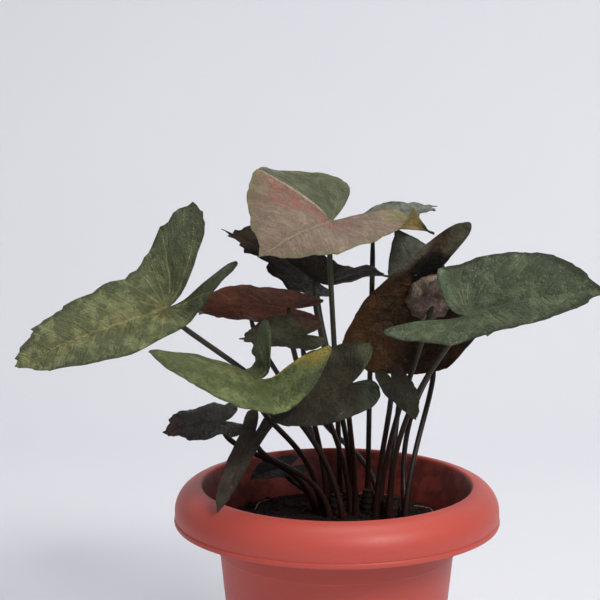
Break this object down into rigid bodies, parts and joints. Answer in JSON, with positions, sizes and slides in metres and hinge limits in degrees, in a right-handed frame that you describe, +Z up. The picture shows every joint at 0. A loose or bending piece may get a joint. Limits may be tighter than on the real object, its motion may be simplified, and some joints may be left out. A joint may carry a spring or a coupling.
{
  "type": "potted plant",
  "caption": "Arrowhead vine with lobed green, grey and pinkish leaves on dark upright stalks, in a round plastic pot with a wide rolled collar.",
  "frame": {"origin": "centre of the pot's base, on the surface that the pot stands on", "axes": "+Z up along the pot's axis; -Y towards the side that shows the plant best, as in the picture; +X to the right seen from there"},
  "size_m": [0.3452, 0.2594, 0.3551],
  "materials": {
    "pot": "moulded terracotta-red plastic with a soft sheen",
    "soil": null,
    "crown_left": "dark fibrous stem",
    "crown_middle": "dark fibrous stem",
    "crown_right": "dark fibrous stem",
    "leaf_left_large": null,
    "leaf_top_pink": null,
    "leaf_top_grey": null,
    "leaf_hanging_brown": null,
    "leaf_right_large": null,
    "leaf_front_light": null,
    "leaf_red_left": null,
    "leaf_dark_upper": null,
    "leaf_grey_inner": null,
    "leaf_front_dark": null,
    "leaf_front_small": null,
    "leaf_slate_left": null,
    "leaf_over_rim": null,
    "leaf_inside_pot": null,
    "leaf_grey_back": null,
    "leaf_young_brown": null,
    "leaf_back_left": null,
    "leaf_back_right": null,
    "leaf_back_low": null,
    "leaf_back_high": null,
    "stalk_left_large": null,
    "stalk_top_pink": null,
    "stalk_top_grey": null,
    "stalk_hanging_brown": null,
    "stalk_right_large": null,
    "stalk_front_light": null,
    "stalk_red_left": null,
    "stalk_dark_upper": null,
    "stalk_grey_inner": null,
    "stalk_front_dark": null,
    "stalk_front_small": null,
    "stalk_slate_left": null,
    "stalk_over_rim": null,
    "stalk_inside_pot": null,
    "stalk_grey_back": null,
    "stalk_young_brown": null,
    "stalk_back_left": null,
    "stalk_back_right": null,
    "stalk_back_low": null,
    "stalk_back_high": null
  },
  "bodies": {
    "root": {"pot": "pot", "soil": "soil", "crown_left": "crown_left", "crown_middle": "crown_middle", "crown_right": "crown_right", "leaf_left_large": "leaf_left_large", "leaf_top_pink": "leaf_top_pink", "leaf_top_grey": "leaf_top_grey", "leaf_hanging_brown": "leaf_hanging_brown", "leaf_right_large": "leaf_right_large", "leaf_front_light": "leaf_front_light", "leaf_red_left": "leaf_red_left", "leaf_dark_upper": "leaf_dark_upper", "leaf_grey_inner": "leaf_grey_inner", "leaf_front_dark": "leaf_front_dark", "leaf_front_small": "leaf_front_small", "leaf_slate_left": "leaf_slate_left", "leaf_over_rim": "leaf_over_rim", "leaf_inside_pot": "leaf_inside_pot", "leaf_grey_back": "leaf_grey_back", "leaf_young_brown": "leaf_young_brown", "leaf_back_left": "leaf_back_left", "leaf_back_right": "leaf_back_right", "leaf_back_low": "leaf_back_low", "leaf_back_high": "leaf_back_high", "stalk_left_large": "stalk_left_large", "stalk_top_pink": "stalk_top_pink", "stalk_top_grey": "stalk_top_grey", "stalk_hanging_brown": "stalk_hanging_brown", "stalk_right_large": "stalk_right_large", "stalk_front_light": "stalk_front_light", "stalk_red_left": "stalk_red_left", "stalk_dark_upper": "stalk_dark_upper", "stalk_grey_inner": "stalk_grey_inner", "stalk_front_dark": "stalk_front_dark", "stalk_front_small": "stalk_front_small", "stalk_slate_left": "stalk_slate_left", "stalk_over_rim": "stalk_over_rim", "stalk_inside_pot": "stalk_inside_pot", "stalk_grey_back": "stalk_grey_back", "stalk_young_brown": "stalk_young_brown", "stalk_back_left": "stalk_back_left", "stalk_back_right": "stalk_back_right", "stalk_back_low": "stalk_back_low", "stalk_back_high": "stalk_back_high"}
  },
  "joints": []
}
